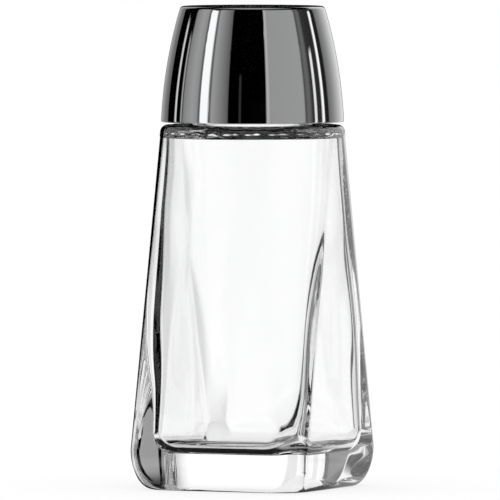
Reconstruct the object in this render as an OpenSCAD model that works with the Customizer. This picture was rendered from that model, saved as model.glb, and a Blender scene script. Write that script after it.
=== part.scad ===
// Table salt shaker: a square-footed glass jar that turns round at its shoulder,
// closed by a tapered chromed cap that screws on to the jar's neck.
// Millimetres, +Z up, origin at the middle of the foot.
// The cap is sized outwards from the neck: bore, neck, threads, insert, shell, shoulder.

/* [Glass jar] */
// Width of the jar across its flats, just above the heel
jar_side = 40.8; // [36:0.2:48]
// Radius of the upright corners at the heel
jar_corner_r = 4; // [2.5:0.1:8]
// Height of the shoulder above the table
jar_h = 76.8; // [60:0.2:100]
// Height over which the heel tucks in to the foot
heel_h = 8.5; // [4:0.1:14]
// How far the heel tucks in on each flat
foot_inset = 3; // [1:0.1:5]
// Corner radius of the foot, where it meets the table
foot_corner_r = 6.5; // [4:0.1:10]
// Diameter of the hollow pushed up into the foot
punt_d = 27; // [18:0.5:30]
// Depth of that hollow
punt_depth = 0.9; // [0.3:0.1:2]
// Thickness of the flat walls at the floor
wall = 4.5; // [3:0.1:6]
// Thickness of the wall just under the shoulder
shoulder_wall = 1.2; // [0.8:0.1:2]
// Thickness of the flat shoulder
shoulder_t = 2.5; // [2:0.05:5]
// Radius on the shoulder's outer edge
shoulder_edge_r = 0.8; // [0.3:0.1:1.2]
// How far the shoulder stands out past the cap's rim
shoulder_ledge = 0.25; // [0.1:0.05:1.5]
// How far the flats lie back from the shoulder's edge, just under it
body_top_inset = 0.3; // [0.1:0.05:0.6]
// Width of the flat that is left at the top of each side, outside and inside
flat_top_w = 1.6; // [0.8:0.1:4]
// Thickness of the floor at its edge
floor_t = 7.8; // [4:0.1:12]
// Rise of the floor's middle above its edge
floor_rise = 1.2; // [0.4:0.1:2.5]
// Diameter of the raised part of the floor
floor_rise_d = 26; // [16:0.5:30]
// Radius of the upright corners inside the jar, at the floor
cavity_corner_r = 1.8; // [1:0.1:5]
// Radius between the walls and the floor inside the jar
cavity_floor_r = 3; // [2:0.1:4]
// Radius of the same bend where it runs into a corner
cavity_scoop_r = 4.5; // [3.6:0.1:5.4]
// Radius between the walls and the underside of the shoulder
cavity_ceiling_r = 1; // [0.3:0.1:2]

/* [Neck] */
// Bore of the neck, which the salt is filled and shaken through
neck_bore_d = 21; // [16:0.2:26]
// Wall of the neck between its threads
neck_wall = 2.7; // [2:0.1:4]
// Height of the neck above the shoulder
neck_h = 10.5; // [9:0.1:14]
// Rounding of the neck's lip
lip_r = 0.8; // [0.3:0.1:0.9]
// Rise of the thread in one turn
thread_pitch = 4.233; // [3.5:0.001:5]
// How far the glass thread stands out of the neck
thread_depth = 1.1; // [0.8:0.05:1.4]
// Width of the thread at its crest
thread_crest_w = 1.1; // [0.8:0.05:1.3]
// Height of the thread's lower end above the shoulder
thread_low_gap = 3; // [2.4:0.1:4]
// Distance of the thread's upper end below the lip
thread_high_gap = 2.2; // [2:0.1:3]

/* [Cap shell] */
// Height of the cap
cap_h = 24.5; // [20:0.1:32]
// How much narrower the cap is at its top than at its rim
cap_taper = 8.3; // [4:0.1:10]
// Radius of the bulge along the cap's side
cap_side_r = 100; // [70:1:200]
// Radius of the cap's top edge
cap_edge_r = 0.9; // [0.4:0.1:2]
// Sheet thickness of the shell
shell_wall = 0.6; // [0.4:0.05:1.2]
// Gap between the cap's rim and the jar's shoulder
cap_gap = 0.65; // [0.4:0.05:1.5]

/* [Shaker holes] */
// Diameter of each hole
hole_d = 2; // [1.2:0.1:2.4]
// Holes on the inner ring
inner_holes = 6; // [4:1:7]
// Radius of the inner ring
inner_ring_r = 4.2; // [3.6:0.1:5]
// Holes on the outer ring
outer_holes = 12; // [6:1:14]
// Radius of the outer ring
outer_ring_r = 8.4; // [7.6:0.1:10]

/* [Thread insert] */
// Wall of the threaded skirt, behind its thread
skirt_wall = 1.4; // [1:0.05:2]
// Reach of the ribs from the skirt to the shell, at the cap's rim
rib_reach = 2.7; // [2:0.05:4]
// Thickness of each rib
rib_w = 1.2; // [0.8:0.1:2]
// Ribs around the skirt
rib_count = 12; // [6:2:20]
// Bite of the ribs into the shell, which holds the insert there
rib_press = 0.05; // [0.02:0.01:0.1]
// Thickness of the flange that bears on the washer
flange_t = 1.5; // [1:0.1:2.5]
// How far the insert stops short of the cap's rim
insert_recess = 0.6; // [0.3:0.1:1.5]
// Radial clearance between the two threads
thread_clearance = 0.35; // [0.2:0.05:0.4]
// Clearance along the axis between the flanks that bear
flank_clearance = 0.15; // [0.1:0.05:0.3]

/* [Washer] */
// Thickness of the sealing washer
washer_t = 1; // [0.6:0.1:2]
// Clearance of the washer's edge inside the skirt
washer_clearance = 0.4; // [0.2:0.05:0.6]
// Clearance between the washer and the insert's thread
washer_room = 0.3; // [0.2:0.05:0.6]

/* [Hidden] */

round_fn = 96;         // sides of round pieces
hull_fn = 64;          // sides of round pieces inside a hull
arc_steps = 6;         // straight stretches in a small rounded edge
side_steps = 16;       // straight stretches in the cap's long side
thread_step = 10;      // degrees between the sections of a thread
runout_angle = 40;     // degrees over which a thread rises at each end
runout_depth = 0.25;   // share of its depth that a thread has at its very end
thread_slope = 0.5;    // width that a thread loses on each flank, per unit of depth
slice_h = 0.01;        // thickness of a slice inside a hull
bite = 0.5;            // overlap of shapes that are joined into one solid
min_bend_r = 0.1;      // sharpest inside bend of the sheet
min_corner_r = 0.3;    // sharpest corner of a slice inside the jar
eps = 0.02;            // overshoot of a cut past a face

neck_d = neck_bore_d + 2 * neck_wall;
neck_top_z = jar_h + neck_h;
neck_thread_z = jar_h + thread_low_gap;
neck_thread_rise = neck_h - thread_low_gap - thread_high_gap;

skirt_in_r = neck_d / 2 + thread_depth + thread_clearance;
skirt_out_r = skirt_in_r + skirt_wall;
cap_rim_d = 2 * (skirt_out_r + rib_reach + shell_wall);
cap_z = jar_h + cap_gap;
cap_inner_edge_r = max(cap_edge_r - shell_wall, min_bend_r);

shoulder_d = cap_rim_d + 2 * shoulder_ledge;
body_top_half = shoulder_d / 2 - body_top_inset;
body_top_z = jar_h - shoulder_t;
cavity_half = jar_side / 2 - wall;
cavity_top_half = body_top_half - shoulder_wall;

flange_z = neck_top_z + washer_t;
insert_top_z = flange_z + flange_t;
insert_base_z = cap_z + insert_recess;
thread_half_w = thread_crest_w / 2 + thread_slope * (thread_depth + bite);
insert_thread_z = insert_base_z + thread_half_w;
insert_thread_rise = neck_top_z - washer_room - thread_half_w - insert_thread_z;
// Height of the insert's thread below the glass thread that it bears on
thread_drop = thread_crest_w + thread_slope * (thread_depth - thread_clearance) + flank_clearance;

// The cap's side is an arc through its rim and its top, drawn as radius and height above the rim
cap_chord = [-cap_taper / 2, cap_h];
cap_inward = [-cap_chord[1], cap_chord[0]] / norm(cap_chord);
cap_sag = sqrt(pow(cap_side_r, 2) - pow(norm(cap_chord) / 2, 2));
cap_centre = [cap_rim_d / 2, 0] + cap_chord / 2 + cap_inward * cap_sag;

// Points on an arc about c, from angle a0 to a1
function arc(c, r, a0, a1, n = arc_steps) =
    [for (i = [0 : n]) let (a = a0 + (a1 - a0) * i / n) c + r * [cos(a), sin(a)]];

// Outline of the space inside a skin that is set back from the cap's outside, from height z0 up
function cap_outline(setback, z0, edge_r) =
    let (r = cap_side_r - setback,
         top = cap_h - setback,
         edge_z = top - edge_r,
         edge_x = cap_centre[0] + sqrt(pow(r - edge_r, 2) - pow(edge_z - cap_centre[1], 2)),
         a0 = asin((z0 - cap_centre[1]) / r),
         a1 = atan2(edge_z - cap_centre[1], edge_x - cap_centre[0]))
    concat([[0, top], [0, z0]],
           arc(cap_centre, r, a0, a1, side_steps),
           arc([edge_x, edge_z], edge_r, a1, 90));

// Section of a thread on radius r, at angle a: it stands out by depth, or in where depth is negative
function thread_section(r, depth, a, z) =
    let (into = r - sign(depth) * bite,
         crest = thread_crest_w / 2,
         root = crest + thread_slope * (abs(depth) + bite))
    [for (p = [[into, -root], [r + depth, -crest], [r + depth, crest], [into, root]])
        [p[0] * cos(a), p[0] * sin(a), z + p[1]]];

// Right-handed thread that climbs by rise from height z at angle a0, and runs out at both ends
module thread(r, depth, z, a0, rise) {
    turn = 360 * rise / thread_pitch;
    n = round(turn / thread_step);
    sections = [for (i = [0 : n])
        let (a = turn * i / n,
             full = min(1, runout_depth + (1 - runout_depth) * min(a, turn - a) / runout_angle))
        thread_section(r, depth * full, a0 + a, z + rise * i / n)];
    sides = [for (i = [0 : n - 1], k = [0 : 3]) let (p = 4 * i + k, q = 4 * i + (k + 1) % 4)
        depth > 0 ? [p, q, q + 4, p + 4] : [p, p + 4, q + 4, q]];
    ends = depth > 0 ? [[3, 2, 1, 0], [4 * n, 4 * n + 1, 4 * n + 2, 4 * n + 3]]
                     : [[0, 1, 2, 3], [4 * n + 3, 4 * n + 2, 4 * n + 1, 4 * n]];
    polyhedron([for (s = sections) each s], concat(sides, ends), convexity = 6);
}

// How far a wall is drawn in at height h above a floor that it bends into with radius r
function drawn_in(h, r) = r - sqrt(pow(r, 2) - pow(max(r - h, 0), 2));

// Corner radius of a square slice whose corners reach this far from the axis
function slice_corner_r(half, reach) = max(half - (reach - half) / (sqrt(2) - 1), min_corner_r);

// Level slice of a square with rounded corners
module square_slice(half, corner_r, z) {
    for (x = [-1, 1], y = [-1, 1])
        translate([x * (half - corner_r), y * (half - corner_r), z])
            cylinder(r = corner_r, h = slice_h, $fn = hull_fn);
}

// Ball that rises above the level z by rise, over a circle of diameter d
module dome(d, rise, z) {
    r = (pow(d / 2, 2) + pow(rise, 2)) / (2 * rise);
    translate([0, 0, z + rise - r]) sphere(r = r, $fn = round_fn);
}

// Outside of the jar, from its foot to its shoulder
module jar_body() {
    hull() {
        for (i = [0 : arc_steps]) {
            a = 90 * i / arc_steps;
            tuck = 1 - cos(a);
            square_slice(jar_side / 2 - foot_inset * tuck,
                         jar_corner_r + (foot_corner_r - jar_corner_r) * tuck,
                         heel_h * (1 - sin(a)));
        }
        square_slice(body_top_half, body_top_half - flat_top_w / 2, body_top_z - slice_h);
    }
}

// Space for the salt: square at the floor, nearly round under the shoulder. Its walls bend into the
// floor more widely in the corners than on the flats.
module jar_cavity() {
    reach = (cavity_half - cavity_corner_r) * sqrt(2) + cavity_corner_r;
    difference() {
        hull() {
            for (i = [0 : arc_steps]) {
                a = 90 * i / arc_steps;
                h = cavity_scoop_r * (1 - sin(a));
                half = cavity_half - drawn_in(h, cavity_floor_r);
                top_half = cavity_top_half - cavity_ceiling_r * (1 - cos(a));
                square_slice(half, slice_corner_r(half, reach - drawn_in(h, cavity_scoop_r)), floor_t + h);
                square_slice(top_half, top_half - flat_top_w / 2,
                             body_top_z - cavity_ceiling_r * (1 - sin(a)) - slice_h);
            }
        }
        dome(floor_rise_d, floor_rise, floor_t);
    }
}

// Shoulder and neck, solid, turned about the jar's axis
module jar_finish() {
    r = shoulder_d / 2;
    rotate_extrude($fn = round_fn)
        polygon(concat(
            [[0, neck_top_z], [0, body_top_z - bite], [body_top_half - bite, body_top_z - bite],
             [r, body_top_z + 2 * body_top_inset]],
            arc([r - shoulder_edge_r, jar_h - shoulder_edge_r], shoulder_edge_r, 0, 90),
            [[neck_d / 2, jar_h]],
            arc([neck_d / 2 - lip_r, neck_top_z - lip_r], lip_r, 0, 90)));
}

// Bore of the neck, which opens out at the lip
module neck_bore() {
    r = neck_bore_d / 2;
    rotate_extrude($fn = round_fn)
        polygon(concat(
            [[0, neck_top_z + eps], [0, body_top_z - bite - eps], [r, body_top_z - bite - eps]],
            arc([r + lip_r, neck_top_z - lip_r], lip_r, 180, 90),
            [[r + lip_r, neck_top_z + eps]]));
}

module glass_jar() {
    color([0.93, 0.95, 0.95, 0.4])
    difference() {
        union() {
            jar_body();
            jar_finish();
            thread(neck_d / 2, thread_depth, neck_thread_z, 0, neck_thread_rise);
        }
        jar_cavity();
        neck_bore();
        dome(punt_d, punt_depth, 0);
    }
}

// Ring of holes through the cap's top, turned by angle
module hole_ring(count, r, angle) {
    for (i = [0 : count - 1])
        rotate(angle + 360 * i / count) translate([r, 0, cap_h - 2 * shell_wall])
            cylinder(d = hole_d, h = 3 * shell_wall, $fn = round_fn);
}

module cap_shell() {
    color([0.72, 0.73, 0.75])
    translate([0, 0, cap_z])
        difference() {
            rotate_extrude($fn = round_fn) polygon(cap_outline(0, 0, cap_edge_r));
            rotate_extrude($fn = round_fn) polygon(cap_outline(shell_wall, -eps, cap_inner_edge_r));
            hole_ring(1, 0, 0);
            hole_ring(inner_holes, inner_ring_r, 0);
            hole_ring(outer_holes, outer_ring_r, 180 / outer_holes);
        }
}

// Upright ribs from the skirt out into the shell
module insert_ribs() {
    intersection() {
        translate([0, 0, cap_z]) rotate_extrude($fn = round_fn)
            polygon(cap_outline(shell_wall - rib_press, insert_recess, cap_inner_edge_r));
        difference() {
            for (i = [0 : rib_count / 2 - 1])
                rotate(360 * i / rib_count) translate([-cap_rim_d / 2, -rib_w / 2, insert_base_z])
                    cube([cap_rim_d, rib_w, flange_z - insert_base_z]);
            translate([0, 0, insert_base_z - eps])
                cylinder(r = skirt_out_r - bite, h = flange_z - insert_base_z + 2 * eps, $fn = round_fn);
        }
    }
}

module thread_insert() {
    color([0.04, 0.04, 0.04])
    union() {
        rotate_extrude($fn = round_fn)
            polygon([[skirt_in_r, insert_base_z], [skirt_out_r, insert_base_z],
                     [skirt_out_r, insert_top_z], [neck_bore_d / 2, insert_top_z],
                     [neck_bore_d / 2, flange_z], [skirt_in_r, flange_z]]);
        insert_ribs();
        thread(skirt_in_r, -thread_depth, insert_thread_z,
               360 * (insert_thread_z - neck_thread_z + thread_drop) / thread_pitch, insert_thread_rise);
    }
}

module sealing_washer() {
    color([0.35, 0.35, 0.36])
    translate([0, 0, neck_top_z])
        difference() {
            cylinder(r = skirt_in_r - washer_clearance, h = washer_t, $fn = round_fn);
            translate([0, 0, -eps]) cylinder(d = neck_bore_d, h = washer_t + 2 * eps, $fn = round_fn);
        }
}

glass_jar();
cap_shell();
thread_insert();
sealing_washer();
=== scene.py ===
import bmesh
import bpy
import numpy as np
from math import asin, atan2, cos, pi, radians, sin, sqrt, tau
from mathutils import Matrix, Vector


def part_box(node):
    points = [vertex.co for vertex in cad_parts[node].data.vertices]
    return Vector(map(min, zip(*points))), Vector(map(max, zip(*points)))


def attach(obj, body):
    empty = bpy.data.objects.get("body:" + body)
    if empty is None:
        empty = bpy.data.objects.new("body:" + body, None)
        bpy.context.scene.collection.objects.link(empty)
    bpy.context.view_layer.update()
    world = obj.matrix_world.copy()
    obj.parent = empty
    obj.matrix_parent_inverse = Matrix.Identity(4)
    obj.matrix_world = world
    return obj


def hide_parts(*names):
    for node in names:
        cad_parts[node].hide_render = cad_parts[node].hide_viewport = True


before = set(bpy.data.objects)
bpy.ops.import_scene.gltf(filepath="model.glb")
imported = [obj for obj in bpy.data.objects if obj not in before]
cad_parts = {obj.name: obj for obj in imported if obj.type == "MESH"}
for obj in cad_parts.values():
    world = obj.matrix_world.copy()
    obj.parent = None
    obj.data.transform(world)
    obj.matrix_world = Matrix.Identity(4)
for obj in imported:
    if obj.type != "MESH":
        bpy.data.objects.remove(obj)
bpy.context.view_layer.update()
mm = 0.001
bpy.context.scene.view_settings.view_transform = "Standard"
tracing = bpy.context.scene.cycles
tracing.max_bounces = 40            # light is reflected many times inside thick glass before it leaves
tracing.transmission_bounces = 40
tracing.glossy_bounces = 40
print("frame loaded:", sorted(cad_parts))


# Sizes that the pieces share, read from the frame
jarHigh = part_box("glass_jar")[1]
capLow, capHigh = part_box("cap_shell")
insertLow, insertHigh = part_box("thread_insert")
washerLow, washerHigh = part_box("sealing_washer")
capRim = capHigh.x            # radius of the cap at its rim
capBase = capLow.z
capTop = capHigh.z
neckTop = jarHigh.z
flangeLevel = washerHigh.z    # the insert's flange bears on the washer here

neck = {
    "bore": 10.5 * mm,        # radius of the bore
    "radius": 13.2 * mm,      # outside, between the threads
    "lip": 0.8 * mm,          # rounding of the lip
    "pitch": 4.233 * mm,      # rise of the thread in one turn
    "depth": 1.1 * mm,        # how far the thread stands out
    "crest": 1.1 * mm,        # width of the thread at its crest
    "crestFlat": 0.8,         # share of that width before it rounds off
    "slope": 0.5,             # run of a flank for each unit of its depth
    "clearance": 0.35 * mm,   # radial room between the two threads
    "flank": 0.15 * mm,       # room along the axis between the bearing flanks
    "runOut": radians(40),    # turn over which a thread fades at each end
}
skirtInside = neck["radius"] + neck["depth"] + neck["clearance"]


# Points on an arc about (x, z), from one angle to another, as columns x and z
def arcPoints(x, z, radius, start, end, count):
    a = np.linspace(radians(start), radians(end), count)
    return np.stack([x + radius * np.cos(a), z + radius * np.sin(a)], 1)


# Straight stretch between two (x, z) points
def linePoints(first, last, count):
    t = np.linspace(0, 1, count)[:, None]
    return np.array(first) * (1 - t) + np.array(last) * t


# Joins stretches end to end, and leaves out the point that two of them share
def joinStretches(*stretches):
    points = np.concatenate(stretches)
    step = np.linalg.norm(np.diff(points, axis=0), axis=1)
    return points[np.concatenate([[True], step > 1e-7])]


# Ease from 0 to 1 as x goes from low to high, with level ends
def ease(x, low, high):
    t = np.clip((x - low) / (high - low), 0, 1)
    return t * t * (3 - 2 * t)


# Faces of a grid of rings: each quad joins neighbours along the profile and around the ring
def gridFaces(rings, around, closeProfile=False):
    i = np.arange(rings if closeProfile else rings - 1)[:, None]
    j = np.arange(around)[None, :]
    row = i * around
    nextRow = (i + 1) % rings * around
    nextJ = (j + 1) % around
    return np.stack([row + j, row + nextJ, nextRow + nextJ, nextRow + j], 2).reshape(-1, 4)


# Puts points and faces into a new mesh object, smooth shaded
def makePiece(name, points, faces, material):
    mesh = bpy.data.meshes.new(name)
    mesh.from_pydata(points.reshape(-1, 3).tolist(), [], list(faces))
    mesh.polygons.foreach_set("use_smooth", np.ones(len(mesh.polygons), bool))
    mesh.materials.append(material)
    mesh.update()
    piece = bpy.data.objects.new(name, mesh)
    bpy.context.scene.collection.objects.link(piece)
    return piece


# Rings stacked along a profile; a pole closes the first or last ring with a fan of triangles
def ringPiece(name, rings, material, startPole=None, endPole=None, closeProfile=False):
    count, around = rings.shape[:2]
    points = rings.reshape(-1, 3)
    faces = gridFaces(count, around, closeProfile).tolist()
    j = np.arange(around)
    if startPole is not None:
        tip = np.full(around, len(points))
        points = np.concatenate([points, [startPole]])
        faces += np.stack([tip, (j + 1) % around, j], 1).tolist()
    if endPole is not None:
        tip = np.full(around, len(points))
        last = (count - 1) * around
        points = np.concatenate([points, [endPole]])
        faces += np.stack([tip, last + j, last + (j + 1) % around], 1).tolist()
    return makePiece(name, points, faces, material)


# Distance from the axis to a square with rounded corners, seen at an angle: the ray meets a flat
# side first where it is near the middle, and otherwise the corner's arc
def squareRadius(angle, straight, corner):
    turned = np.abs((angle + pi / 4) % (pi / 2) - pi / 4)
    side = (straight + corner) / np.cos(turned)
    c, s = np.cos(turned), np.sin(turned)
    inside = np.maximum(corner ** 2 - straight ** 2 * (c - s) ** 2, 0)
    arc = straight * (c + s) + np.sqrt(inside)
    return np.where(np.tan(turned) * (straight + corner) <= straight, side, arc)


# Height of a thread over its root: a rounded ridge about a helix that climbs one pitch in each turn,
# and fades at both ends
def threadHeight(angle, z, startZ, startAngle, turn):
    height = np.zeros(np.broadcast(angle, z).shape)
    crest = neck["crest"] / 2
    root = crest + neck["slope"] * neck["depth"]
    for lap in range(int(turn / tau) + 2):
        run = (angle - startAngle) % tau + tau * lap
        fade = ease(np.minimum(run, turn - run), 0, neck["runOut"])
        off = np.abs(z - startZ - neck["pitch"] * run / tau)
        ridge = 1 - ease(off, neck["crestFlat"] * crest, root)
        height = np.maximum(height, np.where((run >= 0) & (run <= turn), fade * ridge, 0))
    return height * neck["depth"]


# Materials

# Adds a node with its settings and inputs in one call; an input is a value or another node's output
def addNode(tree, kind, inputs=None, **settings):
    node = tree.nodes.new(kind)
    for key, value in settings.items():
        setattr(node, key, value)
    for key, value in (inputs or {}).items():
        if isinstance(value, bpy.types.NodeSocket):
            tree.links.new(value, node.inputs[key])
        else:
            node.inputs[key].default_value = value
    return node


# Sum, product or other reckoning with numbers and outputs
def reckon(tree, operation, *values, clamped=False):
    node = addNode(tree, "ShaderNodeMath", dict(enumerate(values)), operation=operation, use_clamp=clamped)
    return node.outputs["Value"]


# How far a value has come from low to high, as a number between two ends
def wayAlong(tree, value, low, high, ends=(0.0, 1.0), soft=False):
    node = addNode(tree, "ShaderNodeMapRange", {
        "Value": value, "From Min": low, "From Max": high, "To Min": ends[0], "To Max": ends[1]},
        interpolation_type="SMOOTHSTEP" if soft else "LINEAR")
    return node.outputs["Result"]


# Mix of two numbers or colours
def blend(tree, factor, first, second, kind="FLOAT"):
    node = addNode(tree, "ShaderNodeMix", {"Factor": factor, "A": first, "B": second}, data_type=kind)
    return node.outputs["Result"]


# New node group with named sockets: the group, what it is given and what it puts out
def newGroup(name, inputs, outputs):
    group = bpy.data.node_groups.new(name, "ShaderNodeTree")
    for label, kind, value in inputs:
        socket = group.interface.new_socket(label, in_out="INPUT", socket_type=kind)
        if value is not None:
            socket.default_value = value
    for label in outputs:
        group.interface.new_socket(label, in_out="OUTPUT", socket_type="NodeSocketFloat")
    start = group.nodes.new("NodeGroupInput")
    end = group.nodes.new("NodeGroupOutput")
    return group, start.outputs, end.inputs


# Marks of handling: soft cloudy smudges and fine wiping scratches, put out as a roughness and a bump height
def handlingGroup():
    group, given, put = newGroup("handlingMarks", [
        ("Vector", "NodeSocketVector", None), ("Clean", "NodeSocketFloat", 0.02),
        ("Smudged", "NodeSocketFloat", 0.08), ("Smudge Scale", "NodeSocketFloat", 60.0),
        ("Scratch Scale", "NodeSocketFloat", 900.0)], ["Roughness", "Height"])
    cloud = addNode(group, "ShaderNodeTexNoise", {
        "Vector": given["Vector"], "Scale": given["Smudge Scale"], "Detail": 4.0, "Roughness": 0.6})
    smudge = wayAlong(group, cloud.outputs["Fac"], 0.5, 0.78)
    stretch = addNode(group, "ShaderNodeMapping", {
        "Vector": given["Vector"], "Scale": (1.0, 1.0, 0.06), "Rotation": (0.5, 0.3, 0.0)})
    scratch = addNode(group, "ShaderNodeTexNoise", {
        "Vector": stretch.outputs["Vector"], "Scale": given["Scratch Scale"], "Detail": 2.0})
    group.links.new(blend(group, smudge, given["Clean"], given["Smudged"]), put["Roughness"])
    group.links.new(wayAlong(group, scratch.outputs["Fac"], 0.62, 0.7), put["Height"])
    return group


# Grain of a moulded surface: fine pebbling over a slow unevenness, put out as a height and a tint mask
def grainGroup():
    group, given, put = newGroup("mouldedGrain", [
        ("Vector", "NodeSocketVector", None), ("Pebble Scale", "NodeSocketFloat", 2500.0),
        ("Cloud Scale", "NodeSocketFloat", 150.0)], ["Height", "Cloud"])
    pebble = addNode(group, "ShaderNodeTexVoronoi", {
        "Vector": given["Vector"], "Scale": given["Pebble Scale"]}, feature="SMOOTH_F1")
    cloud = addNode(group, "ShaderNodeTexNoise", {
        "Vector": given["Vector"], "Scale": given["Cloud Scale"], "Detail": 5.0})
    group.links.new(reckon(group, "ADD", pebble.outputs["Distance"], cloud.outputs["Fac"]), put["Height"])
    group.links.new(cloud.outputs["Fac"], put["Cloud"])
    return group


handlingMarks = handlingGroup()
mouldedGrain = grainGroup()


# New material with its Principled shader and Object coordinates
def newMaterial(name, values):
    material = bpy.data.materials.new(name)
    material.use_nodes = True
    tree = material.node_tree
    shader = tree.nodes["Principled BSDF"]
    for key, value in values.items():
        shader.inputs[key].default_value = value
    place = addNode(tree, "ShaderNodeTexCoord")
    return material, tree, shader, place.outputs["Object"]


# Places a shared effect in a material
def placeGroup(tree, group, vector, values):
    return addNode(tree, "ShaderNodeGroup", {"Vector": vector, **values}, node_tree=group)


# Bump from a height, into the shader's normal
def addBump(tree, shader, height, strength, distance):
    bump = addNode(tree, "ShaderNodeBump", {"Height": height, "Strength": strength, "Distance": distance})
    tree.links.new(bump.outputs["Normal"], shader.inputs["Normal"])


glassLook = {
    "ior": 1.52,
    "tint": (0.995, 0.998, 0.997, 1),
    "rim": (0.0, 0.0, 0.0, 1),         # painted dark outline: what is left of the colour at a grazing look
    "paintedOutlineStart": 0.66,                  # how far off square the look has to be, from 0 to 1
    "paintedOutlineFull": 0.75,
    "waveScale": 90.0,                 # waves of the mould in a metre, their strength and height
    "wave": 0.02,
    "waveHeight": 1.0 * mm,
}


# Clear glass: perfectly smooth, with a slow waviness from the mould
def clearGlass():
    material, tree, shader, vector = newMaterial("clearGlass", {
        "IOR": glassLook["ior"], "Roughness": 0.0, "Transmission Weight": 1.0})
    # Painted dark outlines: the glass's colour and the tint of its reflection go to black as the look gets
    # more grazing
    look = addNode(tree, "ShaderNodeLayerWeight", {"Blend": 0.5})
    rim = wayAlong(tree, look.outputs["Facing"], glassLook["paintedOutlineStart"], glassLook["paintedOutlineFull"], soft=True)
    tint = blend(tree, rim, glassLook["tint"], glassLook["rim"], "RGBA")
    tree.links.new(tint, shader.inputs["Base Color"])
    tree.links.new(tint, shader.inputs["Specular Tint"])
    wave = addNode(tree, "ShaderNodeTexNoise", {
        "Vector": vector, "Scale": glassLook["waveScale"], "Detail": 1.0})
    addBump(tree, shader, wave.outputs["Fac"], glassLook["wave"], glassLook["waveHeight"])
    return material


chromeLook = {
    "colour": (0.86, 0.865, 0.875, 1),
    "clean": 0.025,                    # roughness, clean and smudged
    "smudged": 0.07,
    "smudges": 70.0,                   # smudges in a metre
    "scratch": 0.02,                   # strength and height of the scratches
    "scratchHeight": 0.05 * mm,
}


# Bright plating: mirror-like, with faint smudges and wiping scratches
def chromePlate():
    material, tree, shader, vector = newMaterial("chromePlate", {
        "Base Color": chromeLook["colour"], "Metallic": 1.0})
    marks = placeGroup(tree, handlingMarks, vector, {
        "Clean": chromeLook["clean"], "Smudged": chromeLook["smudged"],
        "Smudge Scale": chromeLook["smudges"]})
    tree.links.new(marks.outputs["Roughness"], shader.inputs["Roughness"])
    addBump(tree, shader, marks.outputs["Height"], chromeLook["scratch"], chromeLook["scratchHeight"])
    return material


# Polypropylene: black and satin, with a fine grain
insertLook = {
    "pale": (0.04, 0.04, 0.041, 1),
    "deep": (0.025, 0.025, 0.026, 1),
    "roughness": 0.42,
    "ior": 1.49,
    "pebbles": 3000.0,                 # pebbles and clouds of the grain in a metre
    "clouds": 220.0,
    "grain": 0.15,                     # strength and height of the grain
    "grainHeight": 0.05 * mm,
}

# Soft rubber: dark grey and matt, with a dusty grain
washerLook = {
    "pale": (0.16, 0.16, 0.165, 1),
    "deep": (0.10, 0.10, 0.105, 1),
    "roughness": 0.72,
    "ior": 1.5,
    "pebbles": 5000.0,
    "clouds": 400.0,
    "grain": 0.4,
    "grainHeight": 0.05 * mm,
}


# Moulded plastic or rubber: its colour drifts between two close shades, over a fine grain
def mouldedMaterial(name, look):
    material, tree, shader, vector = newMaterial(name, {"Roughness": look["roughness"], "IOR": look["ior"]})
    grain = placeGroup(tree, mouldedGrain, vector, {
        "Pebble Scale": look["pebbles"], "Cloud Scale": look["clouds"]})
    tint = blend(tree, grain.outputs["Cloud"], look["deep"], look["pale"], "RGBA")
    tree.links.new(tint, shader.inputs["Base Color"])
    addBump(tree, shader, grain.outputs["Height"], look["grain"], look["grainHeight"])
    return material


glass = clearGlass()
chrome = chromePlate()
plastic = mouldedMaterial("insertPlastic", insertLook)
rubber = mouldedMaterial("washerRubber", washerLook)
print("materials made")


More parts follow.
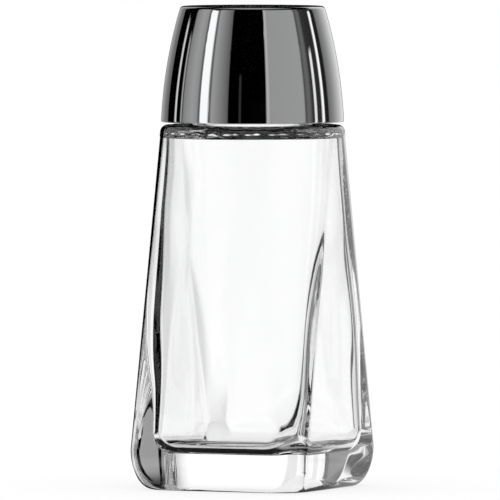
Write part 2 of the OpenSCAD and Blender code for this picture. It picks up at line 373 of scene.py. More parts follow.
# Glass jar
jar = {
    "half": jarHigh.x,             # half the width across the flats
    "corner": 4.0 * mm,            # upright corners at the heel
    "topInset": 0.3 * mm,          # sides under the shoulder, set back from its edge
    "topFlat": 0.8 * mm,           # half of the flat left at the top of each side, outside and inside
    "heel": 8.5 * mm,              # height of the heel
    "footInset": 3 * mm,           # how far the heel tucks in on the flats
    "footCorner": 6.5 * mm,        # corners of the foot
    "puntRadius": 13.5 * mm,       # hollow under the foot
    "puntDepth": 0.9 * mm,
    "ledge": 0.25 * mm,            # shoulder past the cap's rim
    "shoulder": 76.8 * mm,         # height of the shoulder
    "shoulderThick": 2.5 * mm,
    "shoulderBead": 1.6 * mm,      # radius of its bulging edge
    "shoulderEdge": 0.3 * mm,      # rounding from there to the flat top
    "wall": 4.5 * mm,              # walls at the floor
    "shoulderWall": 1.2 * mm,      # wall under the shoulder
    "wallThin": 0.4 * mm,          # how much thinner than an even taper the walls get
    "wallThinStart": 0.45,         # where that begins and ends, as a share of the inside's height
    "wallThinEnd": 0.97,
    "floor": 7.8 * mm,             # thickness of the floor at its edge
    "floorRise": 1.2 * mm,         # rise of the floor's middle
    "floorRiseRadius": 13 * mm,
    "riseReach": 2 * mm,           # how high over the floor that rise still lifts the walls' rounding
    "cavityCorner": 3.4 * mm,      # upright corners inside, at the floor
    "cornerDip": 0.12,             # they widen more slowly low down than higher up
    "cornerDipEnd": 0.74,          # share of the inside's height where they have caught up
    "floorEdge": 3 * mm,           # rounding between walls and floor
    "floorScoop": 4.5 * mm,        # the same rounding where it runs into a corner
    "ceilingRise": 0.3 * mm,       # how far the hollow reaches up into the shoulder
    "ceilingEdge": 0.5 * mm,       # rounding there
    "roundOff": 0.8 * mm,          # height over which the shoulder's edge turns fully round
    "fillet": 0.5 * mm,            # rounding where the neck meets the shoulder, outside and inside
    "filletGap": 0.1 * mm,         # rings of points this near to that rounding
    "threadLow": 3 * mm,           # thread's lower end above the shoulder
    "threadHigh": 2.2 * mm,        # thread's upper end below the lip
    "wave": 0.10 * mm,             # unevenness of the blown inside
    "ripple": 0.03 * mm,           # and of the shoulder, over and under
    "beadRipple": 0.02 * mm,       # and of its edge
    "calmTop": 12 * mm,            # distances from the shoulder and from the floor over which the inside's
    "calmFloor": 6 * mm,           # unevenness grows
    "guard": 0.15 * mm,            # extra ring of points this near to where a long wall meets a rounding
    "puntPole": 0.07,              # first ring about the middle of the foot and last one on the floor, as
    "floorPole": 0.06,             # shares of the hollow's radius and of the floor
    "rings": {                     # rings of points on each stretch of the profile
        "punt": 12, "foot": 6, "heel": 19, "wall": 25, "bead": 26, "edge": 6, "ledge": 14, "fillet": 6,
        "neck": 48, "lip": 9, "bore": 8, "ceiling": 12, "ceilingEdge": 11, "inside": 35, "scoop": 23,
        "floor": 11},
    "around": 360,                 # points in every ring
}


# Height of a shallow dome over its edge: a ball's cap of that rise
def domeHeight(radius, edgeRadius, rise):
    ball = (edgeRadius ** 2 + rise ** 2) / (2 * rise)
    return np.sqrt(np.maximum(ball ** 2 - np.minimum(radius, edgeRadius) ** 2, 0)) - (ball - rise)


# How far a wall is drawn in at a height over the floor, by a quarter circle of that radius
def drawnIn(height, radius):
    return radius - np.sqrt(radius ** 2 - np.maximum(radius - height, 0) ** 2)


# One closed skin, from the middle of the foot over the outside and the lip to the middle of the floor.
# Each ring is a rounded square given by its straight half, its corner radius and its height, and a
# circle has no straight half.
def makeJar():
    v, n = jar, jar["rings"]
    angle = np.arange(v["around"]) * tau / v["around"]
    bodyTop = v["shoulder"] - v["shoulderThick"]
    shoulderR = capRim + v["ledge"]
    topHalf = shoulderR - v["topInset"]
    rings = []          # straight half, corner radius, height

    def addRings(straight, corner, z):
        straight, corner, z = np.broadcast_arrays(straight, corner, z)
        rings.append(np.stack([straight, corner, z], 1))

    # Hollow under the foot, out to the ring that it stands on
    r = np.linspace(v["puntPole"], 1, n["punt"]) * v["puntRadius"]
    addRings(0, r, domeHeight(r, v["puntRadius"], v["puntDepth"]))
    # Flat ring of the foot, from the hollow's circle to the foot's rounded square
    t = np.linspace(0, 1, n["foot"])[1:]
    footHalf = v["half"] - v["footInset"]
    addRings(t * (footHalf - v["footCorner"]), v["puntRadius"] * (1 - t) + v["footCorner"] * t, 0)
    # Heel: a quarter of an ellipse
    a = np.linspace(90, 0, n["heel"])[1:] * pi / 180
    tuck = 1 - np.cos(a)
    corner = v["corner"] + (v["footCorner"] - v["corner"]) * tuck
    addRings(v["half"] - v["footInset"] * tuck - corner, corner, v["heel"] * (1 - np.sin(a)))
    # Walls: the square's straight sides shrink almost to nothing at the shoulder
    guard = v["guard"] / (bodyTop - v["heel"])
    t = np.concatenate([[guard], np.linspace(0, 1, n["wall"])[1:-1], [1 - guard, 1]])
    straight = (v["half"] - v["corner"]) * (1 - t) + v["topFlat"] * t
    corner = v["corner"] * (1 - t) + (topHalf - v["topFlat"]) * t
    addRings(straight, corner, v["heel"] + (bodyTop - v["heel"]) * t)
    # Shoulder: it turns fully round, with a bulging edge and a flat top in to the neck
    bead, edge, fillet = v["shoulderBead"], v["shoulderEdge"], v["fillet"]
    beforeFillet = fillet + v["filletGap"]
    beadZ = bodyTop + sqrt(bead ** 2 - (bead - v["topInset"]) ** 2)
    beadStart = asin((bodyTop - beadZ) / bead) * 180 / pi
    beadEnd = asin((v["shoulder"] - edge - beadZ) / (bead - edge)) * 180 / pi
    edgeR = shoulderR - bead + (bead - edge) * cos(radians(beadEnd))
    outline = joinStretches(
        arcPoints(shoulderR - bead, beadZ, bead, beadStart, beadEnd, n["bead"]),
        arcPoints(edgeR, v["shoulder"] - edge, edge, beadEnd, 90, n["edge"]),
        linePoints((edgeR, v["shoulder"]), (neck["radius"] + beforeFillet, v["shoulder"]), n["ledge"]),
        arcPoints(neck["radius"] + fillet, v["shoulder"] + fillet, fillet, 270, 180, n["fillet"]))[1:]
    flat = v["topFlat"] * (1 - ease(outline[:, 1], bodyTop, bodyTop + v["roundOff"]))
    addRings(flat, outline[:, 0] - flat, outline[:, 1])
    # Neck, with close rings for its thread, and the rounded lip
    z = np.linspace(v["shoulder"] + beforeFillet, neckTop - neck["lip"], n["neck"])
    addRings(0, neck["radius"], z)
    firstNeckRing = sum(len(x) for x in rings) - len(z)
    lip = neck["lip"]
    ceiling = bodyTop + v["ceilingRise"]
    outline = joinStretches(
        arcPoints(neck["radius"] - lip, neckTop - lip, lip, 10, 90, n["lip"] - 1),
        arcPoints(neck["bore"] + lip, neckTop - lip, lip, 90, 180, n["lip"]),
        linePoints((neck["bore"], neckTop - lip), (neck["bore"], ceiling + beforeFillet), n["bore"]),
        arcPoints(neck["bore"] + fillet, ceiling + fillet, fillet, 180, 270, n["fillet"]))
    addRings(0, outline[:, 0], outline[:, 1])
    # Inside: ceiling, its rounded edge, the walls down to the square floor
    firstInside = sum(len(x) for x in rings)
    insideTop = topHalf - v["shoulderWall"]
    edge = v["ceilingEdge"]
    topCorner = insideTop - v["topFlat"]
    t = np.linspace(0, 1, n["ceiling"])
    ceilingStart = neck["bore"] + beforeFillet + v["filletGap"]
    addRings(v["topFlat"] * t, ceilingStart * (1 - t) + (topCorner - edge) * t, ceiling)
    a = np.linspace(90, 0, n["ceilingEdge"])[1:] * pi / 180
    addRings(v["topFlat"], topCorner - edge * (1 - np.cos(a)), ceiling - edge * (1 - np.sin(a)))
    # The walls' rounding into the floor is wider where it runs into the corners, so the straight half comes
    # from how far the flats and the diagonals are drawn in at each height
    height = ceiling - v["ceilingEdge"] - v["floor"]
    bend = v["floorScoop"]
    up = np.concatenate([
        [height - v["guard"]],
        np.linspace(height, bend, n["inside"])[1:],
        bend * (1 - np.sin(np.linspace(0, 90, n["scoop"]) * pi / 180))[1:]])
    t = np.maximum(up - bend, 0) / (height - bend)
    thinned = np.clip((t - v["wallThinStart"]) / (v["wallThinEnd"] - v["wallThinStart"]), 0, 1)
    half = (v["half"] - v["wall"]) * (1 - t) + insideTop * t + v["wallThin"] * np.sin(pi * thinned) ** 2
    widened = t - v["cornerDip"] * np.sin(pi * np.minimum(t / v["cornerDipEnd"], 1)) ** 2
    corner = v["cavityCorner"] + (topCorner - v["cavityCorner"]) * widened
    diagonal = (half - corner) * sqrt(2) + corner
    flatIn = drawnIn(up, v["floorEdge"])
    diagonalIn = drawnIn(up, bend)
    straight = np.maximum((diagonal - diagonalIn - half + flatIn) / (sqrt(2) - 1), 0)
    addRings(straight, half - flatIn - straight, v["floor"] + up)
    # Floor: the rounded square shrinks to the middle
    t = np.linspace(1, v["floorPole"], n["floor"])[1:]
    addRings(straight[-1] * t, (half - flatIn - straight)[-1] * t, v["floor"])

    straight, corner, z = np.concatenate(rings).T[:, :, None]
    radius = squareRadius(angle[None, :], straight, corner)
    z = z + np.zeros_like(radius)
    # Thread on the neck
    turn = tau * (neckTop - v["shoulder"] - v["threadLow"] - v["threadHigh"]) / neck["pitch"]
    onNeck = slice(firstNeckRing, firstNeckRing + n["neck"])
    radius[onNeck] += threadHeight(angle[None, :], z[onNeck], v["shoulder"] + v["threadLow"], 0, turn)
    # The shoulder is pressed, and a little uneven on both faces: 26 and 17 waves in a turn run across each
    # other, and fade out at the neck and at the edge
    onShoulder = ease(z, bodyTop - 0.2 * mm, bodyTop) * ease(v["shoulder"] + 0.3 * mm - z, 0, 0.2 * mm)
    onShoulder *= ease(radius, neck["radius"] + 0.5 * mm, neck["radius"] + 2 * mm)
    onShoulder *= ease(shoulderR - 0.7 * mm - radius, 0, 1 * mm)
    ripples = np.sin(26 * angle + 1500 * radius) + np.sin(17 * angle - 1900 * radius + 2 * z / mm)
    z = z + v["ripple"] * onShoulder * ripples
    # Its edge ripples inwards only, by 41 and 29 waves in a turn that bunch and spread
    onBead = ease(z, bodyTop + 0.1 * mm, bodyTop + 0.8 * mm)
    onBead *= ease(radius, shoulderR - 0.8 * mm, shoulderR - 0.3 * mm)
    ripples = np.sin(41 * angle + 3 * np.sin(5 * angle) + 1.9 * z / mm)
    ripples += 0.7 * np.sin(29 * angle - 2.7 * z / mm + 2 * np.sin(3 * angle)) - 1.7
    radius += v["beadRipple"] * onBead * ripples
    # The inside is blown, so its walls wander a little, by 2, 3 and 5 waves in a turn that twist as they
    # rise; the floor's middle is pushed up
    inside = np.arange(len(radius))[:, None] >= firstInside
    up = z / (bodyTop - v["floor"])
    wander = np.sin(2 * angle + 3.1 * up + 0.6) + 0.7 * np.sin(3 * angle - 5.2 * up)
    wander += 0.5 * np.sin(5 * angle + 8 * up)
    calm = ease(bodyTop - z, 0, v["calmTop"]) * ease(z - v["floor"], 0, v["calmFloor"])
    radius += np.where(inside, v["wave"] * wander * calm, 0)
    flat = inside & (z < v["floor"] + v["riseReach"])
    z = z + np.where(flat, domeHeight(radius, v["floorRiseRadius"], v["floorRise"]), 0)
    points = np.stack([radius * np.cos(angle), radius * np.sin(angle), z], 2)
    return ringPiece("glassJar", points, glass, startPole=(0, 0, v["puntDepth"]),
                     endPole=(0, 0, v["floor"] + v["floorRise"]))


jarPiece = makeJar()
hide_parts("glass_jar")
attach(jarPiece, "jar")
print("jar made:", len(jarPiece.data.polygons), "faces")


# Cap shell
cap = {
    "taper": 8.3 * mm,         # how much narrower the top is than the rim
    "bulge": 100 * mm,         # radius of the side's bulge
    "edge": 0.9 * mm,          # radius of the top edge
    "sheet": 0.6 * mm,         # thickness
    "rimRound": 0.25 * mm,     # rounding of the rim
    "hole": 1.0 * mm,          # radius of a hole
    "holeLip": 0.16 * mm,      # rounding of a hole's edges
    "rings": ((6, 4.2 * mm, 0.0), (12, 8.4 * mm, pi / 12)),   # holes, radius of the ring, first angle
    "bounds": (2.1 * mm, 6.3 * mm, 10.5 * mm),                # circles between the rings of holes
    "points": {"side": 40, "edge": 9, "top": 6, "round": 6, "cell": 8},   # on each stretch of the outlines
    "weld": 0.002 * mm,        # points nearer than this are one
    "around": 192,
}


# Centre of the arc that the cap's side follows, as radius and height: it passes through the rim and the top
def capArcCentre():
    height = capTop - capBase
    chord = np.array([-cap["taper"] / 2, height])
    inward = np.array([-chord[1], chord[0]]) / np.linalg.norm(chord)
    reach = sqrt(cap["bulge"] ** 2 - np.dot(chord, chord) / 4)
    return np.array([capRim, capBase]) + chord / 2 + inward * reach


arcX, arcZ = capArcCentre()


# Radius of the cap's side at a height, set back from its outside
def capSideRadius(z, setBack):
    return arcX + np.sqrt((cap["bulge"] - setBack) ** 2 - (z - arcZ) ** 2)


# Half of the cap's outline: the side from low up to the top edge, its rounding, and in along the top
def capOutline(setBack, low, edge, inner):
    n = cap["points"]
    r = cap["bulge"] - setBack
    top = capTop - setBack
    edgeZ = top - edge
    edgeX = arcX + sqrt((r - edge) ** 2 - (edgeZ - arcZ) ** 2)
    start = asin((low - arcZ) / r) * 180 / pi
    end = atan2(edgeZ - arcZ, edgeX - arcX) * 180 / pi
    return joinStretches(
        arcPoints(arcX, arcZ, r, start, end, n["side"]),
        arcPoints(edgeX, edgeZ, edge, end, 90, n["edge"]),
        linePoints((edgeX, top), (inner, top), n["top"]))


# The holed part of the top: each hole sits in a cell of a ring, and its surface runs from the cell's
# border on top, over the hole's rounded lip, down its wall and out to the same border underneath
def holedTop():
    lip, hole = cap["holeLip"], cap["hole"]
    top, under = capTop, capTop - cap["sheet"]
    down = joinStretches(
        arcPoints(hole + lip, top - lip, lip, 90, 180, cap["points"]["round"]),
        arcPoints(hole + lip, under + lip, lip, 180, 270, cap["points"]["round"]))
    counts = [cap["around"] // 4, cap["around"] // 2, cap["around"]]
    side = cap["points"]["cell"]
    cells = []
    circle = np.arange(counts[0]) * tau / counts[0]
    cells.append((np.zeros(2), cap["bounds"][0] * np.stack([np.cos(circle), np.sin(circle)], 1)))
    for ring, (number, ringR, first) in enumerate(cap["rings"]):
        inner, outer = cap["bounds"][ring], cap["bounds"][ring + 1]
        half = pi / number
        for k in range(number):
            mid = first + k * tau / number
            a = np.concatenate([
                np.linspace(-half, half, counts[ring + 1] // number + 1)[:-1], np.full(side, half),
                np.linspace(half, -half, counts[ring] // number + 1)[:-1], np.full(side, -half)]) + mid
            r = np.concatenate([
                np.full(counts[ring + 1] // number, outer), np.linspace(outer, inner, side + 1)[:-1],
                np.full(counts[ring] // number, inner), np.linspace(inner, outer, side + 1)[:-1]])
            middle = ringR * np.array([cos(mid), sin(mid)])
            cells.append((middle, np.stack([r * np.cos(a), r * np.sin(a)], 1)))
    points, faces, used = [], [], 0
    for middle, border in cells:
        away = border - middle
        away /= np.linalg.norm(away, axis=1)[:, None]
        rows = [np.concatenate([border, np.full((len(border), 1), top)], 1)]
        for r, z in down:
            rows.append(np.concatenate([middle + away * r, np.full((len(border), 1), z)], 1))
        rows.append(np.concatenate([border, np.full((len(border), 1), under)], 1))
        points.append(np.concatenate(rows))
        faces.append(gridFaces(len(rows), len(border)) + used)
        used += len(rows) * len(border)
    return np.concatenate(points), np.concatenate(faces)


# Shell: lathed from the holed top's border over the side, round the rim and back up the inside
def makeCap():
    v = cap
    angle = np.arange(v["around"]) * tau / v["around"]
    rim = v["rimRound"]
    border = v["bounds"][-1]
    outside = capOutline(0, capBase + rim, v["edge"], border)[::-1]
    inside = capOutline(v["sheet"], capBase + rim, v["edge"] - v["sheet"], border)
    outerR, innerR = outside[-1][0], inside[0][0]
    turn = joinStretches(
        arcPoints(outerR - rim, capBase + rim, rim, 0, -90, v["points"]["round"]),
        arcPoints(innerR + rim, capBase + rim, rim, -90, -180, v["points"]["round"]))
    outline = joinStretches(outside, turn, inside)
    r, z = outline[:, 0, None], outline[:, 1, None]
    rings = np.stack([r * np.cos(angle), r * np.sin(angle), z + 0 * angle], 2)
    topPoints, topFaces = holedTop()
    sidePoints = rings.reshape(-1, 3)
    sideFaces = gridFaces(len(rings), v["around"])[:, ::-1]
    points = np.concatenate([sidePoints, topPoints])
    faces = np.concatenate([sideFaces, topFaces + len(sidePoints)])
    piece = makePiece("capShell", points, faces, chrome)
    weldPiece(piece)
    return piece


# Merges the points that two surfaces share, and turns all faces outwards
def weldPiece(piece):
    work = bmesh.new()
    work.from_mesh(piece.data)
    bmesh.ops.remove_doubles(work, verts=work.verts, dist=cap["weld"])
    bmesh.ops.recalc_face_normals(work, faces=work.faces)
    work.to_mesh(piece.data)
    work.free()


capPiece = makeCap()
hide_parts("cap_shell")
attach(capPiece, "cap")
print("cap shell made:", len(capPiece.data.polygons), "faces")


# Thread insert
insert = {
    "wall": 1.4 * mm,          # skirt behind its thread
    "ribs": 12,
    "ribHalf": 0.6 * mm,       # half the thickness of a rib
    "gap": 0.03 * mm,          # ribs to the shell
    "ribStep": 0.004,          # half of the turn over which a rib's side steps out
    "round": 0.2 * mm,         # rounding of the edges
    "sink": 0.5 * mm,          # how deep the foot of the thread's flanks is reckoned in the wall
    "threadTop": 0.3 * mm,     # room between the thread's end and the lip
    "points": {"round": 4, "rib": 16, "rim": 3, "top": 4, "flange": 6, "thread": 90},   # on each stretch
}


# Collar: a lathed outline whose outer wall steps out to the shell at each rib, and whose inner wall
# carries the thread
def makeInsert():
    v, n = insert, insert["points"]
    base, top = insertLow.z, insertHigh.z
    outer = skirtInside + v["wall"]
    edge = v["round"]
    half = v["ribHalf"] / outer
    pitch = tau / v["ribs"]
    step = v["ribStep"]
    part = np.concatenate([
        np.linspace(-pitch / 2, -half - step, 10), [-half + step], np.linspace(-half * 0.6, half * 0.6, 3),
        [half - step], np.linspace(half + step, pitch / 2, 10)[:-1]])
    angle = (part[None, :] + pitch * np.arange(v["ribs"])[:, None]).reshape(-1)
    onRib = (np.abs((angle + pitch / 2) % pitch - pitch / 2) < half).astype(float)
    outline = joinStretches(
        arcPoints(outer - edge, base + edge, edge, -90, 0, n["round"]),
        linePoints((outer, base + edge), (outer, flangeLevel), n["rib"]),
        linePoints((outer, flangeLevel + 0.01 * mm), (outer, top - edge), n["rim"]),
        arcPoints(outer - edge, top - edge, edge, 0, 90, n["round"]),
        linePoints((outer - edge, top), (neck["bore"] + edge, top), n["top"]),
        arcPoints(neck["bore"] + edge, top - edge, edge, 90, 180, n["round"]),
        arcPoints(neck["bore"] + edge, flangeLevel + edge, edge, 180, 270, n["round"]),
        linePoints((neck["bore"] + edge, flangeLevel), (skirtInside - edge, flangeLevel), n["flange"]),
        arcPoints(skirtInside - edge, flangeLevel - edge, edge, 90, 0, n["round"]),
        linePoints((skirtInside, flangeLevel - edge), (skirtInside, base + edge), n["thread"]),
        arcPoints(skirtInside + edge, base + edge, edge, 180, 270, n["round"]))
    r, z = outline[:, 0, None], outline[:, 1, None] + 0 * angle
    ribbed = (np.arange(len(outline)) < n["round"] + n["rib"])[:, None]
    reach = np.where(ribbed, capSideRadius(z, cap["sheet"]) - v["gap"] - outer, 0)
    radius = r + reach * onRib
    root = neck["crest"] / 2 + neck["slope"] * (neck["depth"] + v["sink"])
    start = base + root
    turn = tau * (neckTop - v["threadTop"] - root - start) / neck["pitch"]
    drop = neck["crest"] + neck["slope"] * (neck["depth"] - neck["clearance"]) + neck["flank"]
    startAngle = tau * (start - (jar["shoulder"] + jar["threadLow"] - drop)) / neck["pitch"]
    inner = np.abs(r - skirtInside) < 0.5 * edge
    radius = radius - np.where(inner, threadHeight(angle[None, :], z, start, startAngle, turn), 0)
    points = np.stack([radius * np.cos(angle), radius * np.sin(angle), z], 2)
    return ringPiece("threadInsert", points, plastic, closeProfile=True)


insertPiece = makeInsert()
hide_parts("thread_insert")
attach(insertPiece, "cap")
print("insert made:", len(insertPiece.data.polygons), "faces")


# Sealing washer
washer = {"round": 0.25 * mm, "roundPoints": 5, "flatPoints": 16, "around": 120}


# Flat ring with rounded edges
def makeWasher():
    v = washer
    low, high = washerLow.z, washerHigh.z
    outer, inner, edge, n = washerHigh.x, neck["bore"], v["round"], v["roundPoints"]
    angle = np.arange(v["around"]) * tau / v["around"]
    outline = joinStretches(
        arcPoints(outer - edge, low + edge, edge, -90, 0, n),
        arcPoints(outer - edge, high - edge, edge, 0, 90, n),
        arcPoints(inner + edge, high - edge, edge, 90, 180, n),
        arcPoints(inner + edge, low + edge, edge, 180, 270, n),
        linePoints((inner + edge, low), (outer - edge, low), v["flatPoints"]))[:-1]
    r, z = outline[:, 0, None], outline[:, 1, None]
    points = np.stack([r * np.cos(angle), r * np.sin(angle), z + 0 * angle], 2)
    return ringPiece("sealingWasher", points, rubber, closeProfile=True)


washerPiece = makeWasher()
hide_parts("sealing_washer")
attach(washerPiece, "washer")
print("washer made:", len(washerPiece.data.polygons), "faces")


# Camera
view = {
    "azimuth": radians(24.5),
    "distance": 2.67,
    "height": 0.156,                    # camera above the table
    "aim": Vector((0, 0, 0.0503)),      # looks at the middle of the jar
    "sideways": -0.00053,               # aim to the left, so that the object sits right of centre
    "span": 0.1058,                     # width of the frame at the object
    "sensor": 36.0,
}


# Long lens at the photograph's azimuth, a little above the middle of the object
def makeCamera():
    a = view["azimuth"]
    data = bpy.data.cameras.new("camera")
    camera = bpy.data.objects.new("camera", data)
    bpy.context.scene.collection.objects.link(camera)
    side = Vector((cos(a), sin(a), 0)) * view["sideways"]
    camera.location = Vector((sin(a), -cos(a), 0)) * view["distance"] + Vector((0, 0, view["height"])) + side
    aim = view["aim"] + side
    camera.rotation_euler = (aim - camera.location).to_track_quat("-Z", "Y").to_euler()
    data.sensor_width = view["sensor"]
    data.lens = view["sensor"] * (aim - camera.location).length / view["span"]
    data.clip_end = 50
    bpy.context.scene.camera = camera


makeCamera()


# Studio
studio = {
    "light": 0.95,            # level of the soft light all round
    "sky": 0.3,               # level overhead, as metal sees it
    "skyStart": 55,           # degrees above the table where it begins
    "skyFull": 75,
    "floorGlow": 0.75,        # share of the floor's white that shadows don't touch
    "floorWhite": 1.04,
    "floorRadius": 0.10,
    "floorPoints": 96,
    "floorGap": 0.02 * mm,    # air between the foot and the table
    "under": 0.015,           # level of the painted shade on the table under the jar, as mirrored light sees it
    "paintedShadeLeft": 0.010,       # how far to the left of the jar's middle that painted shade lies, and how far in front
    "paintedShadeFront": 0.006,
    "paintedShadeStart": 0.023,      # distances from there over which it ends
    "paintedShadeEnd": 0.030,
    "fadeStart": 0.04,        # the cards reach over the table to this far from the middle
    "fadeEnd": 0.08,
    "cardEdge": 1.0,          # degrees over which a card's top edge fades
    "glassEdge": 5.0,
    "stripEdge": 1.0,         # degrees over which a dark strip's sides fade
    # Cards around the set: how many degrees high they stand, and then degrees to the right of the camera's
    # axis with the grey level there. Metal sees the brightest of its sets of cards.
    "metalCards": (
        (38, ((-171, 0), (-169, 0.45), (-157, 0.34), (-144, 0.18), (-136, 0.14), (-135, 0), (-101, 0),
              (-99.5, 0.24), (-84, 0.36), (-75, 0.30), (-74, 0.12), (-56, 0.12), (-54.5, 0.36), (-36, 0.16),
              (-32, 0.11), (-31, 0), (17.5, 0), (18.5, 0.5), (20.5, 0.5), (22, 0.33), (70, 0.35), (72, 0.05),
              (75, 0.14), (79, 0.14), (83, 0.035), (113, 0.01), (115, 0.17), (125, 0.27), (135, 0.42),
              (160, 0.8), (169, 0.68), (171, 0))),
        (30, ((-71.5, 0), (-70.5, 1.1), (-59.5, 1.1), (-58.5, 0))),
        (21, ((99.5, 0), (100.5, 1.1), (104.5, 1.1), (105.5, 0))),
        (15, ((-117.5, 0), (-116.5, 0.7), (-113.5, 0.7), (-112.5, 0), (-105, 0), (-104, 0.4), (-102.5, 0.4),
              (-101.5, 0), (-18, 0), (-17, 0.03), (-15.5, 0.03), (-14.5, 0), (86, 0), (87, 0.9), (90, 0.9),
              (91, 0)))),
    # What light reflected inside the glass sees
    "glassCards": (
        16, ((-180, 1.13), (-174, 1.13), (-171, 0.85), (-154, 0.85), (-151, 1.08), (-139, 1.0), (-138, 0),
             (-97, 0), (-96, 0.5), (-66, 0.5), (-31, 0), (20, 0), (22, 0.34), (71, 0.4), (73, 0.1), (86, 0.1),
             (87, 0.95), (92, 0.95), (93, 0), (101, 0), (102, 0.9), (107, 0.85), (108, 0.25), (141, 0.4),
             (150, 0.72), (172, 1.1), (180, 1.13))),
    # What shows straight through the glass, by light that isn't reflected inside it
    "clearCards": (
        16, ((-180, 1.13), (-174, 1.13), (-171, 0.85), (-154, 0.85), (-151, 1.08), (-139, 1.0), (136, 1.0),
             (141, 0.7), (150, 0.72), (172, 1.1), (180, 1.13))),
    "clearAbove": 0.8,        # share of that light above those cards
    "clearStrip": (164, 166.5),     # a dark strip in front of them
    "clearStripLift": (-9, -3),     # degrees above the table where it begins and ends
    # What the outside of the glass mirrors
    "mirrorCards": (
        60, ((-180, 0), (108, 0), (116, 1.0), (150, 1.0), (162, 1.6), (168, 1.6), (174, 0), (180, 0))),
    # What light reflected inside the glass sees from this many degrees below the level
    "lowStart": -14,
    "lowFull": -18,
    "lowCards": (90, ((-180, 0.04), (-152, 0.04), (-150, 1.0), (-118, 1.0), (-116, 0.04), (180, 0.04))),
    # Dark strips in front of glassCards: where each begins and ends
    "glassStrips": ((122, 128), (136, 140), (164, 166.5)),
}


# Level of one set of cards, from the share of a turn and the height in degrees that a ray looks at
def cardLevel(group, turned, lifted, cards, edge, above=0.0):
    high, levels = cards
    ramp = addNode(group, "ShaderNodeValToRGB", {"Fac": turned})
    stops = ramp.color_ramp.elements
    for k, (degrees, level) in enumerate(levels):
        stop = stops[k] if k < 2 else stops.new(1.0)
        stop.position = (degrees + 180) / 360
        stop.color = (level, level, level, 1)
    below = wayAlong(group, lifted, high + edge, high - edge, (above, 1.0), soft=True)
    return reckon(group, "MULTIPLY", ramp.outputs["Color"], below)


# Nought between two values and one outside them, with soft edges
def outsideRange(group, value, first, last, edge):
    half = (last - first) / 2
    away = reckon(group, "ABSOLUTE", reckon(group, "SUBTRACT", value, first + half))
    return wayAlong(group, away, half, half + edge)


# Nought in a dark strip and one beside it, from the degrees where it begins and ends
def besideStrip(group, turned, strip):
    first, last = ((degrees + 180) / 360 for degrees in strip)
    return outsideRange(group, turned, first, last, studio["stripEdge"] / 360)


# Grey levels of the cards in a direction: as metal sees them, as light reflected inside glass does, as they
# show straight through glass and as its outside mirrors them. A direction's turn is its angle to the right
# of the camera's axis, and its lift is its angle above the table.
def cardsGroup():
    group, given, put = newGroup("setCards", [("Vector", "NodeSocketVector", None)],
                                 ["Metal", "Glass", "Clear", "Mirror"])
    link = group.links.new
    unit = addNode(group, "ShaderNodeVectorMath", {0: given["Vector"]}, operation="NORMALIZE")
    parts = addNode(group, "ShaderNodeSeparateXYZ", {"Vector": unit.outputs["Vector"]}).outputs
    turn = reckon(group, "ARCTAN2", parts["X"], reckon(group, "MULTIPLY", parts["Y"], -1.0))
    turn = reckon(group, "WRAP", reckon(group, "SUBTRACT", turn, view["azimuth"]), pi, -pi)
    turned = wayAlong(group, turn, -pi, pi)
    lifted = reckon(group, "DEGREES", reckon(group, "ARCSINE", parts["Z"]))
    edge, softEdge = studio["cardEdge"], studio["glassEdge"]
    metal = wayAlong(group, lifted, studio["skyStart"], studio["skyFull"], (0.0, studio["sky"]))
    for cards in studio["metalCards"]:
        metal = reckon(group, "MAXIMUM", metal, cardLevel(group, turned, lifted, cards, edge))
    inner = cardLevel(group, turned, lifted, studio["glassCards"], softEdge)
    for strip in studio["glassStrips"]:
        inner = reckon(group, "MULTIPLY", inner, besideStrip(group, turned, strip))
    low = wayAlong(group, lifted, studio["lowStart"], studio["lowFull"], soft=True)
    lowLevel = cardLevel(group, turned, lifted, studio["lowCards"], softEdge)
    clear = cardLevel(group, turned, lifted, studio["clearCards"], softEdge, studio["clearAbove"])
    beside = reckon(group, "MAXIMUM", besideStrip(group, turned, studio["clearStrip"]),
                    outsideRange(group, lifted, *studio["clearStripLift"], edge))
    link(metal, put["Metal"])
    link(blend(group, low, inner, lowLevel), put["Glass"])
    link(reckon(group, "MULTIPLY", clear, beside), put["Clear"])
    link(cardLevel(group, turned, lifted, studio["mirrorCards"], softEdge), put["Mirror"])
    return group


setCards = cardsGroup()


# Level of the cards for the kind of ray that looks, and then three marks, each one or nought: the ray comes
# from metal or glass, it hasn't been reflected, it comes from the camera. Only glass is smooth enough for
# perfectly sharp mirror rays.
def cardsSeen(tree, vector):
    cards = placeGroup(tree, setCards, vector, {}).outputs
    rays = addNode(tree, "ShaderNodeLightPath").outputs
    bounces = reckon(tree, "ADD", rays["Glossy Depth"], rays["Diffuse Depth"])
    straight = reckon(tree, "LESS_THAN", bounces, 0.5)
    mirrored = blend(tree, rays["Is Singular Ray"], cards["Metal"], cards["Mirror"])
    through = blend(tree, straight, cards["Glass"], cards["Clear"])
    level = blend(tree, rays["Is Transmission Ray"], mirrored, through)
    shiny = reckon(tree, "MAXIMUM", rays["Is Glossy Ray"], rays["Is Transmission Ray"])
    return level, shiny, straight, rays["Is Camera Ray"]


# Surroundings: plain white to the camera, soft light to matt surfaces, cards to metal and glass
def makeWorld():
    world = bpy.data.worlds.new("studio")
    bpy.context.scene.world = world
    world.use_nodes = True
    tree = world.node_tree
    tree.nodes.clear()
    place = addNode(tree, "ShaderNodeTexCoord")
    cards, shiny, _, camera = cardsSeen(tree, place.outputs["Generated"])
    lit = blend(tree, shiny, (studio["light"],) * 3 + (1,), cards, "RGBA")
    shown = blend(tree, camera, lit, (1, 1, 1, 1), "RGBA")
    back = addNode(tree, "ShaderNodeBackground", {"Color": shown})
    addNode(tree, "ShaderNodeOutputWorld", {"Surface": back.outputs["Background"]})
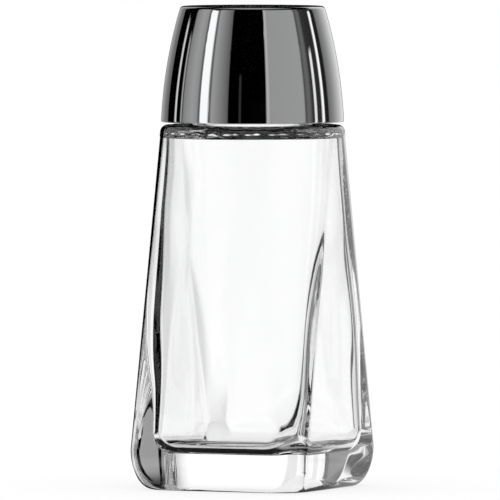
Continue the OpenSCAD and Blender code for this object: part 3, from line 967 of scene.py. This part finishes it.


# Round white table that keeps a soft share of the object's shadow, with a painted shade under the jar for
# reflected light;
# metal and glass see the cards in it, and from below it doesn't show
def makeFloor():
    angle = np.arange(studio["floorPoints"]) * tau / studio["floorPoints"]
    r = studio["floorRadius"]
    rim = np.stack([r * np.cos(angle), r * np.sin(angle), 0 * angle - studio["floorGap"]], 1)
    mesh = bpy.data.meshes.new("floor")
    mesh.from_pydata(rim.tolist(), [], [list(range(len(rim)))])
    floor = bpy.data.objects.new("floor", mesh)
    bpy.context.scene.collection.objects.link(floor)
    material = bpy.data.materials.new("floorPaper")
    material.use_nodes = True
    tree = material.node_tree
    tree.nodes.clear()
    place = addNode(tree, "ShaderNodeTexCoord").outputs["Object"]
    cards, shiny, straight, camera = cardsSeen(tree, place)
    # White near the jar, with a painted shade under it that only light reflected in glass or off metal sees
    a = view["azimuth"]
    front = Vector((sin(a), -cos(a), 0)) * studio["paintedShadeFront"]
    left = Vector((cos(a), sin(a), 0)) * studio["paintedShadeLeft"]
    away = addNode(tree, "ShaderNodeVectorMath", {0: place, 1: front - left}, operation="DISTANCE")
    under = wayAlong(tree, away.outputs["Value"], studio["paintedShadeStart"], studio["paintedShadeEnd"],
                     (studio["under"], 1.0))
    near = blend(tree, reckon(tree, "SUBTRACT", shiny, straight, clamped=True), 1.0, under)
    # Farther out, metal and glass see the cards
    reach = addNode(tree, "ShaderNodeVectorMath", {0: place}, operation="LENGTH")
    fade = wayAlong(tree, reach.outputs["Value"], studio["fadeStart"], studio["fadeEnd"], soft=True)
    white = blend(tree, reckon(tree, "MULTIPLY", fade, shiny), near, cards, "RGBA")
    paper = addNode(tree, "ShaderNodeBsdfDiffuse", {"Color": white})
    glow = addNode(tree, "ShaderNodeEmission", {"Color": white, "Strength": studio["floorWhite"]})
    share = reckon(tree, "MULTIPLY", reckon(tree, "MAXIMUM", shiny, camera), studio["floorGlow"])
    upper = addNode(tree, "ShaderNodeMixShader", {
        0: share, 1: paper.outputs["BSDF"], 2: glow.outputs["Emission"]})
    side = addNode(tree, "ShaderNodeNewGeometry")
    lower = addNode(tree, "ShaderNodeBsdfTransparent")
    both = addNode(tree, "ShaderNodeMixShader", {
        0: side.outputs["Backfacing"], 1: upper.outputs["Shader"], 2: lower.outputs["BSDF"]})
    addNode(tree, "ShaderNodeOutputMaterial", {"Surface": both.outputs["Shader"]})
    mesh.materials.append(material)


makeWorld()
makeFloor()
print("studio made")
